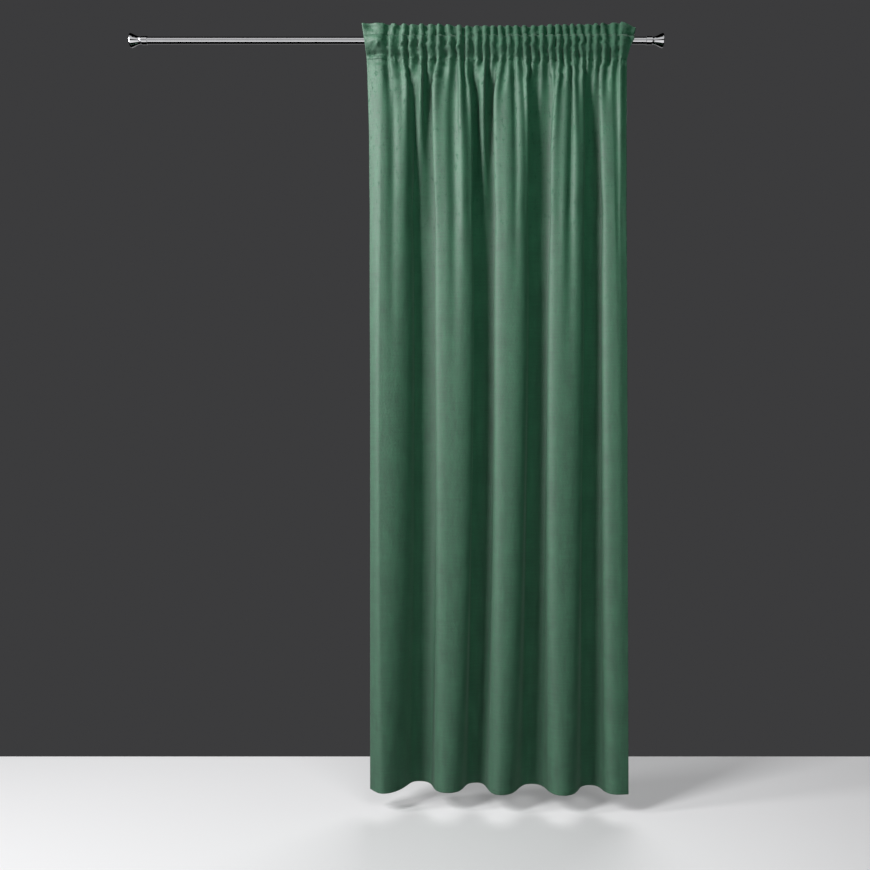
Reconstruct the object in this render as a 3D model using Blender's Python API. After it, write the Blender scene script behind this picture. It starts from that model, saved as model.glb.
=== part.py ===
"""Velvet curtain panel gathered on a chrome curtain pole.

Frame: metres, +Z up. The origin lies on the pole's axis at the middle of the pole's length, +X runs
along the pole and -Y is the side that faces the room. The cloth is one sheet. It hangs straight from a
pole pocket, which is its own top turned over to the back and sewn down along two seams, so that a
ruffle of doubled cloth stands above the pole.
"""

import functools
import math

import bmesh
import bpy
import numpy as np

MM = 0.001

# Pole and finials
POLE_DIAMETER = 0.025
POLE_LENGTH = 1.794
FIT_GAP = 0.0003  # between the pole and a finial's bore
TURNED_STEPS = 36  # flats round each turned piece

# One finial along its own axis, from the open end of its collar outwards: (name, distance mm, radius mm)
FINIAL_OUTLINE = (
    ("collar mouth", 0.0, 13.7),
    ("collar edge", 0.7, 14.6),
    ("collar", 20.0, 14.6),
    ("collar shoulder", 21.4, 13.6),
    ("groove in", 21.4, 11.6),
    ("groove out", 23.6, 11.6),
    ("neck bead", 24.4, 13.4),
    ("neck", 28.0, 12.8),
    ("flare start", 34.0, 14.4),
    ("flare", 42.0, 17.8),
    ("flare", 50.0, 21.8),
    ("flare rim", 57.0, 24.6),
    ("rim edge", 58.6, 25.0),
    ("rim face", 60.4, 24.2),
    ("end face", 60.4, 20.5),
    ("dish", 58.8, 19.0),
)
COLLAR_REACH = 0.0182  # how far the collar covers the pole's end

# Cloth
CUT_WIDTH = 1.400  # the flat width of the panel
CLOTH = 0.0016  # thickness of one layer, pile included
POLE_CLEARANCE = 0.0033  # between the pocket and the pole at the rows of the mesh
UPPER_SEAM_Z = 0.0165
LOWER_SEAM_Z = -0.067
HEM_Z = -2.638
HEADING_EASE = 0.0085  # room for the gathers between the pocket's middle and the pole
SEAM_ROOM = 0.0018  # from a seam to the inside corner of the pocket
RUFFLE_SPREAD = 0.038  # height over which the ruffle's side edges lean outwards
MITRE_LIMIT = 0.6  # least cosine at which a crease is still mitred to its full length

# Side edges of the hanging panel by height: (height, left edge x, right edge x), all mm
SIDE_EDGES = (
    (60, -124, 847),
    (0, -114, 835),
    (-30, -110, 821),
    (-67, -106, 813),
    (-330, -99, 809),
    (-1240, -94, 808),
    (-2638, -94, 806),
)

# The top edge of the ruffle: (share of the width from the left, height mm)
TOP_EDGE = (
    (0.00, 60),
    (0.12, 57),
    (0.27, 56),
    (0.37, 51),
    (0.62, 51),
    (0.72, 55),
    (0.90, 58),
    (0.97, 64),
    (1.00, 50),
)

# Main folds, left to right. x and y mm at the three heights of FOLD_HEIGHTS, -y towards the room. The
# last two columns shape the flank that leads to the next row, at the top of the drop: its roundness,
# where 0 is a plain wave and over 0.16 overhangs, and how far it is pushed to the right, mm.
FOLD_HEIGHTS = (-0.330, -1.240, -2.638)
FOLDS = (
    # name, x upper, middle, hem, y upper, middle, hem, roundness, push
    ("left edge", -99, -94, -94, -30, -30, -14, 0.00, 0),
    ("lobe 1", -22, -26, -37, -46, -48, -51, 0.14, 26),
    ("valley 1", 72, 77, 68, 50, 56, 62, 0.30, -13),
    ("lobe 2", 182, 186, 175, -48, -48, -40, 0.26, 13),
    ("valley 2", 302, 308, 280, 46, 46, 44, 0.31, -12),
    ("lobe 3", 398, 394, 362, -50, -52, -57, 0.16, 13),
    ("valley 3", 490, 487, 479, 42, 42, 33, 0.31, -13),
    ("lobe 4", 580, 562, 573, -50, -56, -62, 0.20, 13),
    ("valley 4", 688, 683, 682, 42, 36, 23, 0.31, -13),
    ("lobe 5", 752, 757, 765, -48, -52, -54, 0.03, 0),
    ("right edge", 809, 808, 806, -26, -40, -50, 0.00, 0),
)
HEM_SHAPE = 0.25  # share of roundness and push that is left at the hem

# Gathers of the heading, left to right: ridge x mm from the left edge at the pole, depth against the
# others for its width, and how far below the lower seam the gather dies away, mm
PLEATS = (
    (58, 0.9, 90),
    (93, 1.0, 160),
    (135, 1.1, 330),
    (163, 0.8, 80),
    (200, 1.1, 300),
    (230, 0.8, 80),
    (261, 1.2, 400),
    (301, 0.9, 90),
    (333, 1.1, 330),
    (361, 0.9, 260),
    (395, 0.9, 90),
    (423, 1.2, 320),
    (451, 0.8, 80),
    (480, 1.2, 400),
    (508, 0.9, 90),
    (535, 1.0, 140),
    (565, 1.1, 340),
    (594, 0.8, 80),
    (623, 1.0, 130),
    (656, 1.0, 90),
    (682, 1.2, 400),
    (709, 0.9, 90),
    (735, 1.0, 140),
    (765, 1.1, 330),
    (787, 0.8, 90),
    (813, 0.9, 100),
    (843, 1.2, 400),
    (875, 0.9, 110),
    (903, 1.1, 260),
)
HEADING_WIDTH = 949  # mm along the pole
GAP_PLACE = 0.58  # where the gap lies between one ridge and the next
EDGE_GATHERS = (0.1, 0.3)  # set-back of the left and right edge, against the ridge next to it

# Soft troughs (+) and ridges (-) that outlive the gathers: (share of the cloth's width from the left,
# depth mm, half-width as a share, distance below the lower seam at which it has faded, mm)
SOFT_FOLDS = (
    (0.062, 11, 0.022, 1000),
    (0.185, -12, 0.015, 600),
    (0.298, 16, 0.022, 1100),
    (0.440, -12, 0.012, 550),
    (0.552, 15, 0.021, 900),
    (0.650, -4, 0.016, 400),
    (0.762, 15, 0.021, 1000),
    (0.865, -3, 0.014, 400),
    (0.955, 5, 0.018, 900),
)
SETTLING = 0.080  # drop over which the cloth lets go of its even gathering
SOFT_START = 0.150  # distance below the lower seam over which the soft folds grow

# Heights of the mesh rows, top to bottom. The ruffle's are shares of its height.
RUFFLE_ROWS = (1.0, 0.62, 0.28)
POCKET_ROWS = (0.0125, 0.0030, -0.0110, -0.0290, -0.0480)
FINE_ROWS = (-0.090, -0.140, -0.210, -0.300, -0.410)
WIDE_ROWS = (-0.540, -0.760, -1.080, -1.460, -1.860, -2.260, HEM_Z)

SAMPLES = 1200  # points along a row while its folds are worked out


def clear_scene():
    for item in list(bpy.data.objects):
        bpy.data.objects.remove(item, do_unlink=True)


def material(name, colour, roughness, metallic):
    made = bpy.data.materials.new(name)
    made.use_nodes = True
    shader = made.node_tree.nodes["Principled BSDF"]
    shader.inputs["Base Color"].default_value = (*colour, 1.0)
    shader.inputs["Roughness"].default_value = roughness
    shader.inputs["Metallic"].default_value = metallic
    return made


def add_object(name, mesh_builder, finish, sharp_angle):
    """Turns a bmesh into a named, smooth-shaded object."""
    bmesh.ops.recalc_face_normals(mesh_builder, faces=mesh_builder.faces)
    mesh = bpy.data.meshes.new(name)
    mesh_builder.to_mesh(mesh)
    mesh_builder.free()
    mesh.shade_smooth()
    mesh.set_sharp_from_angle(angle=math.radians(sharp_angle))
    mesh.materials.append(finish)
    made = bpy.data.objects.new(name, mesh)
    bpy.context.scene.collection.objects.link(made)
    return made


# ---------------------------------------------------------------- pole and finials


def turned(outline):
    """A solid turned about the X axis from (x, radius) pairs; its two ends are closed flat."""
    builder = bmesh.new()
    rings = []
    for x, radius in outline:
        ring = []
        for step in range(TURNED_STEPS):
            angle = 2.0 * math.pi * step / TURNED_STEPS
            ring.append(builder.verts.new((x, radius * math.cos(angle), radius * math.sin(angle))))
        rings.append(ring)
    for near, far in zip(rings, rings[1:]):
        for step in range(TURNED_STEPS):
            after = (step + 1) % TURNED_STEPS
            builder.faces.new((near[step], near[after], far[after], far[step]))
    builder.faces.new(rings[0])
    builder.faces.new(rings[-1])
    return builder


def build_pole(chrome):
    half = POLE_LENGTH / 2
    radius = POLE_DIAMETER / 2
    return add_object("pole", turned(((-half, radius), (half, radius))), chrome, 40)


def build_finial(name, side, chrome):
    """Trumpet finial whose collar sleeves over one end of the pole; side is -1 or +1."""
    mouth = POLE_LENGTH / 2 - COLLAR_REACH
    bore = POLE_DIAMETER / 2 + FIT_GAP
    outline = [(COLLAR_REACH + FIT_GAP, bore), (0.0, bore)]
    outline += [(distance * MM, radius * MM) for _, distance, radius in FINIAL_OUTLINE]
    placed = [(side * (mouth + x), radius) for x, radius in outline]
    return add_object(name, turned(placed), chrome, 40)


# ---------------------------------------------------------------- how the cloth hangs


def soft_curve(z, heights, values):
    """The parabola through three values along the drop."""
    a, b, c = heights
    at_a = (z - b) * (z - c) / ((a - b) * (a - c))
    at_b = (z - a) * (z - c) / ((b - a) * (b - c))
    at_c = (z - a) * (z - b) / ((c - a) * (c - b))
    return values[0] * at_a + values[1] * at_b + values[2] * at_c


def side_edges(z):
    heights, left, right = np.array(SIDE_EDGES[::-1], dtype=float).T * MM
    return np.interp(z, heights, left), np.interp(z, heights, right)


def top_edge(share):
    places, heights = np.array(TOP_EDGE, dtype=float).T
    return np.interp(share, places, heights) * MM


def fold_line(z, strength):
    """Main folds at height z as a fine (x, y) line; strength 0 is a straight line."""
    left, right = side_edges(z)
    xs = [soft_curve(z, FOLD_HEIGHTS, fold[1:4]) * MM for fold in FOLDS]
    ys = [soft_curve(z, FOLD_HEIGHTS, fold[4:7]) * MM * strength for fold in FOLDS]
    xs[0], xs[-1] = left, right
    shape = (1.0 - (1.0 - HEM_SHAPE) * (z / HEM_Z) ** 2) * min(1.0, strength)
    steps = SAMPLES // (len(FOLDS) - 1)
    t = np.arange(steps) / steps
    line_x, line_y = [], []
    for row, fold in enumerate(FOLDS[:-1]):
        run = xs[row + 1] - xs[row]
        rise = ys[row + 1] - ys[row]
        push = fold[8] * MM * np.sin(np.pi * t) ** 2
        line_x.append(xs[row] + run * t + shape * (run * fold[7] * np.sin(2 * np.pi * t) + push))
        line_y.append(ys[row] + rise * t**3 * (10 - 15 * t + 6 * t**2))
    line_x.append([xs[-1]])
    line_y.append([ys[-1]])
    return np.column_stack((np.concatenate(line_x), np.concatenate(line_y)))


def along(line):
    """Distance of each point from the start of a line."""
    return np.concatenate(([0.0], np.cumsum(np.linalg.norm(np.diff(line, axis=0), axis=1))))


def gather_places():
    """Start, ridges and gaps by turns, and end of the heading, as shares of its width."""
    places = [0.0]
    for near, far in zip(PLEATS, PLEATS[1:]):
        places += [near[0], near[0] + GAP_PLACE * (far[0] - near[0])]
    return np.array([*places, PLEATS[-1][0], HEADING_WIDTH]) / HEADING_WIDTH


def gather_wave(share, z):
    """Gathers at height z: -1 on a full ridge, +1 in a full gap, fading below the lower seam."""
    ridge, depth, reach = np.array(PLEATS, dtype=float).T
    steps = np.diff([0.0, *ridge, HEADING_WIDTH])
    pitch = (steps[:-1] + steps[1:]) / 2
    below = max(0.0, LOWER_SEAM_Z - z)
    ridges = depth * pitch / pitch.mean() * np.exp(-below / (reach * MM))
    places = gather_places()
    sizes = np.empty(len(places))
    sizes[0] = EDGE_GATHERS[0] * ridges[0]
    sizes[-1] = EDGE_GATHERS[1] * ridges[-1]
    sizes[1:-1:2] = -ridges
    sizes[2:-1:2] = (ridges[:-1] + ridges[1:]) / 2
    cell = np.clip(np.searchsorted(places, share, side="right") - 1, 0, len(places) - 2)
    t = (share - places[cell]) / (places[cell + 1] - places[cell])
    return sizes[cell] + (sizes[cell + 1] - sizes[cell]) * (1 - np.cos(np.pi * t)) / 2


def soft_folds(share, z):
    """Shallow troughs and ridges between the gathers and the main folds, in metres."""
    below = max(0.0, LOWER_SEAM_Z - z)
    relief = np.zeros_like(share)
    for place, depth, width, fade in SOFT_FOLDS:
        left_over = max(0.0, 1.0 - below / (fade * MM))
        started = min(1.0, below / SOFT_START)
        strength = depth * MM * started * left_over**1.5
        relief += strength * np.exp(-(((share - place) / width) ** 2))
    return relief


def shaped_row(z, share, place, strength, gather_depth):
    """Points (x, y) of the cloth at height z: place is where each share lies along the main folds."""
    line = fold_line(z, strength)
    distance = along(line)
    distance /= distance[-1]
    centre = np.column_stack([np.interp(place, distance, line[:, axis]) for axis in (0, 1)])
    slope = np.gradient(line, axis=0)
    slope /= np.linalg.norm(slope, axis=1)[:, None]
    across = np.column_stack([np.interp(place, distance, slope[:, axis]) for axis in (0, 1)])
    backwards = np.column_stack((-across[:, 1], across[:, 0]))
    relief = gather_depth * gather_wave(share, z) + soft_folds(share, z)
    return centre + backwards * relief[:, None]


def solved(length_at, low, high):
    """The value at which length_at reaches the cut width."""
    for _ in range(24):
        middle = (low + high) / 2
        if length_at(middle) < CUT_WIDTH:
            low = middle
        else:
            high = middle
    return (low + high) / 2


@functools.lru_cache
def heading_depth(z):
    """Half the depth that the gathers need to take up the cloth's width along the pole."""
    every = np.linspace(0.0, 1.0, SAMPLES)
    return solved(lambda depth: along(shaped_row(z, every, every, 0.0, depth))[-1], 0.0, 0.03)


def hanging_place(share, z, depth):
    """Where the cloth gathered at these shares of the pole hangs along the main folds at height z."""
    every = np.linspace(0.0, 1.0, SAMPLES)
    flat = along(shaped_row(LOWER_SEAM_Z, every, every, 0.0, depth))
    released = np.interp(share, every, flat / flat[-1])
    slid = 1.0 - math.exp(-(LOWER_SEAM_Z - z) / SETTLING)
    return share + (released - share) * slid


def cloth_row(z, share):
    """Points (x, y) of the cloth at height z; every row is the cut width long."""
    if z >= LOWER_SEAM_Z:
        return shaped_row(z, share, share, 0.0, heading_depth(z))
    depth = heading_depth(LOWER_SEAM_Z)
    every = np.linspace(0.0, 1.0, SAMPLES)
    every_place = hanging_place(every, z, depth)
    strength = solved(
        lambda value: along(shaped_row(z, every, every_place, value, depth))[-1], 0.0, 2.0
    )
    return shaped_row(z, share, hanging_place(share, z, depth), strength, depth)


def pocket_bulge(z):
    """How far each layer of the pocket stands off its middle at height z."""
    widest = POLE_DIAMETER / 2 + POLE_CLEARANCE + CLOTH / 2 + HEADING_EASE
    if z >= 0.0:
        return widest * math.sqrt(max(0.0, 1.0 - (z / UPPER_SEAM_Z) ** 2))
    return widest * (1.0 + math.cos(math.pi * z / LOWER_SEAM_Z)) / 2


def pocket_row(z, share, side):
    """One layer of the pocket at height z, kept off the pole; side is -1 in front and +1 behind."""
    points = cloth_row(z, share)
    points[:, 1] += side * pocket_bulge(z)
    nearest = POLE_DIAMETER / 2 + POLE_CLEARANCE + CLOTH / 2
    stand_off = math.sqrt(max(0.0, nearest**2 - z**2))
    points[:, 1] = side * np.maximum(side * points[:, 1], stand_off)
    return np.column_stack((points, np.full(len(share), z)))


def level_row(z, share):
    return np.column_stack((cloth_row(z, share), np.full(len(share), z)))


def ruffle_row(part, share):
    """A row of the doubled cloth above the pocket; part 0 is the upper seam and 1 the top edge."""
    heights = UPPER_SEAM_Z + part * (top_edge(share) - UPPER_SEAM_Z)
    points = cloth_row(UPPER_SEAM_Z + part * RUFFLE_SPREAD, share)
    return np.column_stack((points, heights))


# ---------------------------------------------------------------- the panel's mesh


def column_shares():
    """Columns of the mesh: two to each flank of a gather."""
    places = gather_places()
    return np.interp(np.arange(2 * len(places) - 1) / 2, np.arange(len(places)), places)


def face_offsets(grid):
    """Unit normals of a grid of rows, pointing backwards, longer at creases so that walls stay even."""
    down = np.gradient(grid, axis=0)
    right = np.gradient(grid, axis=1)
    normal = np.cross(right, -down)
    normal /= np.linalg.norm(normal, axis=2)[..., None]
    step = np.diff(grid, axis=1)
    step_normal = np.cross(step, -down[:, :-1])
    step_normal /= np.linalg.norm(step_normal, axis=2)[..., None]
    lean = np.ones(grid.shape[:2])
    lean[:, 1:-1] = np.sum(normal[:, 1:-1] * step_normal[:, 1:], axis=2)
    return normal / np.clip(lean, MITRE_LIMIT, 1.0)[..., None]


class Skin:
    """Collects rows of vertices and lays triangles between them, always on the same diagonal."""

    def __init__(self):
        self.builder = bmesh.new()

    def row(self, points):
        return [self.builder.verts.new(point) for point in points]

    def triangle(self, a, b, c):
        self.builder.faces.new((a, b, c))

    def quad(self, a, b, c, d):
        self.triangle(a, b, c)
        self.triangle(a, c, d)

    def band(self, upper, lower):
        for step in range(len(upper) - 1):
            self.quad(upper[step], upper[step + 1], lower[step + 1], lower[step])

    def halving_band(self, upper, lower):
        """Joins a row to one with half as many steps."""
        for step in range(len(lower) - 1):
            left, middle, right = upper[2 * step : 2 * step + 3]
            self.triangle(left, middle, lower[step])
            self.triangle(middle, lower[step + 1], lower[step])
            self.triangle(middle, right, lower[step + 1])


def build_panel(velvet):
    """The whole cloth as one solid: a single layer, the open pocket and the ruffle."""
    share = column_shares()
    coarse = share[::2]
    ruffle = [ruffle_row(part, share) for part in RUFFLE_ROWS] + [level_row(UPPER_SEAM_Z, share)]
    body = [level_row(z, share) for z in (LOWER_SEAM_Z, *FINE_ROWS)]
    wide = [level_row(z, coarse) for z in WIDE_ROWS]
    first_pocket = len(ruffle)
    last_pocket = first_pocket + len(POCKET_ROWS)

    skin = Skin()
    outer = {}
    inner = {}
    for side in (-1, 1):
        pocket = [pocket_row(z, share, side) for z in POCKET_ROWS]
        grid = np.array(ruffle + pocket + body)
        offset = face_offsets(grid)
        half = np.full(len(grid), CLOTH / 2)
        half[:first_pocket] = CLOTH
        half[last_pocket] = CLOTH
        outside = grid + side * offset * half[:, None, None]
        low_offset = face_offsets(np.array([body[-1][::2], *wide]))[1:]
        low = np.array(wide) + side * low_offset * CLOTH / 2
        outer[side] = [skin.row(row) for row in outside] + [skin.row(row) for row in low]
        inside = (grid - side * offset * CLOTH / 2)[first_pocket:last_pocket]
        inner[side] = [skin.row(row) for row in inside]

    top_corner = level_row(UPPER_SEAM_Z, share)
    top_corner[:, 2] -= SEAM_ROOM
    low_corner = level_row(LOWER_SEAM_Z, share)
    low_corner[:, 2] += SEAM_ROOM
    corners = (skin.row(top_corner), skin.row(low_corner))

    last_fine = len(outside) - 1
    for side in (-1, 1):
        rows = outer[side]
        for index, (upper, lower) in enumerate(zip(rows, rows[1:])):
            if index == last_fine:
                skin.halving_band(upper, lower)
            else:
                skin.band(upper, lower)
        tunnel = [corners[0], *inner[side], corners[1]]
        for upper, lower in zip(tunnel, tunnel[1:]):
            skin.band(upper, lower)
    skin.band(outer[-1][0], outer[1][0])
    skin.band(outer[-1][-1], outer[1][-1])
    close_sides(skin, outer, inner, corners, first_pocket, last_pocket)
    return add_object("velvet_panel", skin.builder, velvet, 60)


def close_sides(skin, outer, inner, corners, first_pocket, last_pocket):
    """Side edges of the cloth, with the pocket left open."""
    for end in (0, -1):
        front = [row[end] for row in outer[-1]]
        back = [row[end] for row in outer[1]]
        for index in range(len(front) - 1):
            if index < first_pocket - 1 or index >= last_pocket:
                skin.quad(front[index], back[index], back[index + 1], front[index + 1])
        top = corners[0][end]
        low = corners[1][end]
        skin.triangle(front[first_pocket - 1], back[first_pocket - 1], top)
        skin.triangle(front[last_pocket], back[last_pocket], low)
        for side, edge in ((-1, front), (1, back)):
            hollow = [top] + [row[end] for row in inner[side]] + [low]
            wall = edge[first_pocket - 1 : last_pocket + 1]
            for step in range(len(wall) - 1):
                skin.quad(wall[step], hollow[step], hollow[step + 1], wall[step + 1])


def main():
    clear_scene()
    velvet = material("velvet", (0.045, 0.160, 0.100), 0.95, 0.0)
    chrome = material("chrome", (0.72, 0.72, 0.74), 0.12, 1.0)
    build_panel(velvet)
    build_pole(chrome)
    build_finial("finial_left", -1, chrome)
    build_finial("finial_right", 1, chrome)


main()
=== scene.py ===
"""Looks of a velvet curtain panel gathered on a chrome curtain pole.

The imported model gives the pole, its finials and a plain solid for the cloth. This script puts a fine sheet
of velvet in the solid's place, on the same folds, and adds materials, lights, a floor and the camera.
Metres, +Z up. The origin lies on the pole's axis, +X runs along it and -Y is the side of the room.
"""

import functools
import math

import bpy
import numpy as np
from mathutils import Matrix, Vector


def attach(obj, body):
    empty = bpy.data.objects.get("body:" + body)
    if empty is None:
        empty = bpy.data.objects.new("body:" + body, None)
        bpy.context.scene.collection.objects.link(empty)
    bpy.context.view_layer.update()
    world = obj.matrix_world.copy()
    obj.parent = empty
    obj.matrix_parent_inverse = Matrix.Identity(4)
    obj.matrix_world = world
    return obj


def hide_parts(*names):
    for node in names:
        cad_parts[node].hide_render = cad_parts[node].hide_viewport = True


MM = 0.001

# ---------------------------------------------------------------- sizes of the cloth

POLE_RADIUS = 0.0125
POLE_CLEARANCE = 0.0033
CUT_WIDTH = 1.400
CLOTH = 0.0016  # thickness of one layer, pile included
UPPER_SEAM_Z = 0.0165
LOWER_SEAM_Z = -0.067
HEM_Z = -2.638
RUFFLE_TOP_Z = UPPER_SEAM_Z + 0.038  # height that shapes the top row, though the top edge wavers about it
RUFFLE_PARTING = 0.15  # share of the ruffle's height over which its two layers part
LAYER_GAP = 0.0018  # from the middle of the ruffle to each of its two layers
HEADING_EASE = 0.0085  # room for the gathers between the pole and each layer of the pocket
BULGE_FULLNESS = 1.35  # over 1 keeps the pocket full until close above its lower seam
SHOULDER_FULLNESS = 0.35  # under 0.5 keeps it fuller than a circle until close below its upper seam

# Side edges of the hanging panel by height: (height, left edge x, right edge x), all mm
SIDE_EDGES = (
    (60, -124, 847),
    (0, -114, 835),
    (-30, -110, 821),
    (-67, -106, 813),
    (-330, -99, 809),
    (-1240, -94, 808),
    (-2638, -94, 806),
)

# The top edge of the ruffle: (share of the width from the left, height mm)
TOP_EDGE = (
    (0.00, 60),
    (0.12, 57),
    (0.27, 56),
    (0.37, 51),
    (0.62, 51),
    (0.72, 55),
    (0.90, 58),
    (0.97, 64),
    (1.00, 50),
)

# Main folds, left to right: x and y mm at the three heights of FOLD_HEIGHTS, -y towards the room. The
# last two columns shape the flank that leads to the next row, at the top of the drop: its roundness,
# where 0 is a plain wave and over 0.16 overhangs, and how far it is pushed to the right, mm.
FOLD_HEIGHTS = (-0.330, -1.240, -2.638)
FOLDS = (
    # name, (x upper, middle, hem), (y upper, middle, hem), roundness, push
    ("left edge", (-99, -94, -94), (-4, -4, -6), 0.00, 0),
    ("lobe 1", (-50, -58, -46), (-44, -44, -46), 0.10, 46),
    ("valley 1", (83, 92, 77), (46, 50, 56), 0.34, -2),
    ("lobe 2", (192, 196, 180), (-48, -48, -40), 0.26, 20),
    ("valley 2", (308, 313, 284), (46, 46, 44), 0.31, -14),
    ("lobe 3", (403, 397, 363), (-50, -52, -57), 0.17, 16),
    ("valley 3", (503, 498, 481), (42, 42, 33), 0.31, -13),
    ("lobe 4", (603, 585, 579), (-50, -56, -62), 0.20, 20),
    ("valley 4", (696, 696, 685), (42, 36, 23), 0.31, -13),
    ("lobe 5", (759, 769, 767), (-48, -52, -54), 0.03, 0),
    ("right edge", (809, 808, 806), (-26, -40, -50), 0.00, 0),
)
HEM_SHAPE = 0.25  # share of roundness and push that is left at the hem
OPENING = 0.110  # drop over which the main folds open

# Gathers of the heading, left to right: ridge x mm at the pole, how far the ridge has moved right at the
# top edge, mm, its depth against the others for its width, and how far below the lower seam it lasts, mm
PLEATS = (
    (-56, 3, 0.8, 120),
    (-21, 8, 0.7, 170),
    (21, 4, 1.0, 330),
    (49, 6, 0.8, 110),
    (86, 0, 1.0, 400),
    (116, 3, 0.8, 90),
    (147, 1, 1.1, 400),
    (187, -7, 0.8, 80),
    (219, 0, 1.2, 420),
    (247, 3, 0.9, 260),
    (281, -1, 0.9, 90),
    (309, 1, 1.0, 420),
    (337, 2, 0.8, 70),
    (366, -4, 0.9, 330),
    (394, -3, 0.8, 80),
    (421, -2, 0.8, 90),
    (451, -3, 1.2, 400),
    (480, 1, 0.8, 90),
    (509, 2, 0.9, 160),
    (542, -5, 0.9, 90),
    (568, -2, 1.2, 420),
    (595, -4, 0.8, 80),
    (621, -4, 1.2, 400),
    (651, -9, 0.9, 110),
    (673, -1, 0.8, 80),
    (699, 2, 0.9, 100),
    (729, -5, 1.1, 300),
    (761, 3, 0.8, 110),
    (789, 6, 1.1, 330),
)
LEFT_FLAT = 0.064  # cloth between the left edge and the first ridge
RIGHT_FLAT = 0.040  # cloth between the last ridge and the right edge
GAP_PLACE = 0.60  # where the gap lies between one ridge and the next
EDGE_GATHERS = (0.3, 0.4)  # set-back of the left and right edge, against the ridge next to it
FALLEN_RIDGE = 0.85  # how far back a ridge lies once it has dropped out, against a full gap
LAST_GATHERS = 0.480  # distance below the lower seam at which the last gathers fade
# Where the ridges sway aside: (height, its scatter, reach up and down, metres, least and most sway, mm)
SWAYS = (
    (-0.028, 0.010, 0.009, -5.0, 1.5),
    (-0.062, 0.012, 0.016, -1.5, 4.0),
    (0.010, 0.014, 0.008, -2.0, 2.0),
)
RUMPLE = 0.60  # how much each ridge and gap varies in depth up and down the heading
RUMPLE_HEIGHT = 0.016  # of one cell of noise
RUMPLE_STRIDE = 1.7  # cells of noise from one ridge or gap to the next
RUMPLE_START = 0.4  # cell of noise at the left edge
RUMPLE_REACH = 0.100  # drop below the lower seam over which they grow even

# Soft troughs (+) and ridges (-) that outlive the gathers: (share of the cloth's width from the left
# where it starts, and DRIFT_DROP lower, depth mm, half-width as a share, distance below the lower seam at
# which it has faded, mm)
SOFT_FOLDS = (
    (0.081, 0.086, 11, 0.014, 1300),
    (0.118, 0.118, -5, 0.014, 1200),
    (0.192, 0.192, -33, 0.021, 600),
    (0.322, 0.322, 15, 0.014, 1300),
    (0.435, 0.442, -38, 0.017, 700),
    (0.561, 0.562, 12, 0.012, 1000),
    (0.650, 0.650, -4, 0.016, 400),
    (0.780, 0.778, 15, 0.012, 1300),
    (0.865, 0.865, -3, 0.014, 400),
    (0.950, 0.950, 6, 0.016, 1100),
)
DRIFT_DROP = 0.350
PINNED = 0.060  # drop over which the ridges leave their places in the heading
SOFT_START = 0.070  # distance below the lower seam over which the soft folds grow

FLANK_STEPS = 120  # points of a row from one main fold to the next while it is worked out
SAMPLES = FLANK_STEPS * (len(FOLDS) - 1)  # points of a row of gathers while it is worked out
COLUMNS = 400  # steps of the sheet across its width
LEAST_SPAN = 0.02  # square of the least share of the line's length that steep cloth takes
HALVINGS = 16  # of the ranges in which a row's shape is sought
MOST_STRENGTH = 2.0  # of the main folds, end of its range
MOST_GATHERS = 0.03  # depth of the gathers, end of its range
NOISE_CELLS = 128  # after which the noise repeats
SEEDS = {
    "sways": 5,
    "upper seam": 11,
    "lower seam": 12,
    "rumple": 17,
    "hooks": 21,
    "swell": 31,
    "crumples": 41,
    "fine crumples": 42,
}


# ---------------------------------------------------------------- how the cloth hangs


def bell(offset, reach):
    """1 where offset is 0, fading on both sides of it; reach is where 0.37 is left."""
    return np.exp(-((offset / reach) ** 2))


def fading(distance, reach):
    """1 where distance is 0, fading with it; reach is where 0.37 is left."""
    return math.exp(-distance / reach)


def below_seam(z):
    """How far height z lies below the lower seam, 0 above it."""
    return max(0.0, LOWER_SEAM_Z - z)


def smooth_noise(x, y, seed):
    """Smooth noise between -1 and 1 with one random value for each unit cell's corner."""
    table = np.random.default_rng(seed).uniform(-1.0, 1.0, (NOISE_CELLS, NOISE_CELLS))
    x, y = np.broadcast_arrays(np.asarray(x, dtype=float), np.asarray(y, dtype=float))
    left, low = np.floor(x).astype(int), np.floor(y).astype(int)
    tx, ty = x - left, y - low
    tx, ty = tx * tx * (3 - 2 * tx), ty * ty * (3 - 2 * ty)
    right, high = (left + 1) % NOISE_CELLS, (low + 1) % NOISE_CELLS
    left, low = left % NOISE_CELLS, low % NOISE_CELLS
    lower = table[left, low] + (table[right, low] - table[left, low]) * tx
    upper = table[left, high] + (table[right, high] - table[left, high]) * tx
    return lower * (1 - ty) + upper * ty


def soft_curve(z, heights, values):
    """The parabola through three values along the drop."""
    a, b, c = heights
    at_a = (z - b) * (z - c) / ((a - b) * (a - c))
    at_b = (z - a) * (z - c) / ((b - a) * (b - c))
    at_c = (z - a) * (z - b) / ((c - a) * (c - b))
    return values[0] * at_a + values[1] * at_b + values[2] * at_c


def side_edges(z):
    """x of the left and the right edge at height z."""
    heights, left, right = np.array(SIDE_EDGES[::-1], dtype=float).T * MM
    return np.interp(z, heights, left), np.interp(z, heights, right)


def top_edge(share):
    """Height of the ruffle's top edge."""
    places, heights = np.array(TOP_EDGE, dtype=float).T
    return np.interp(share, places, heights) * MM


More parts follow.
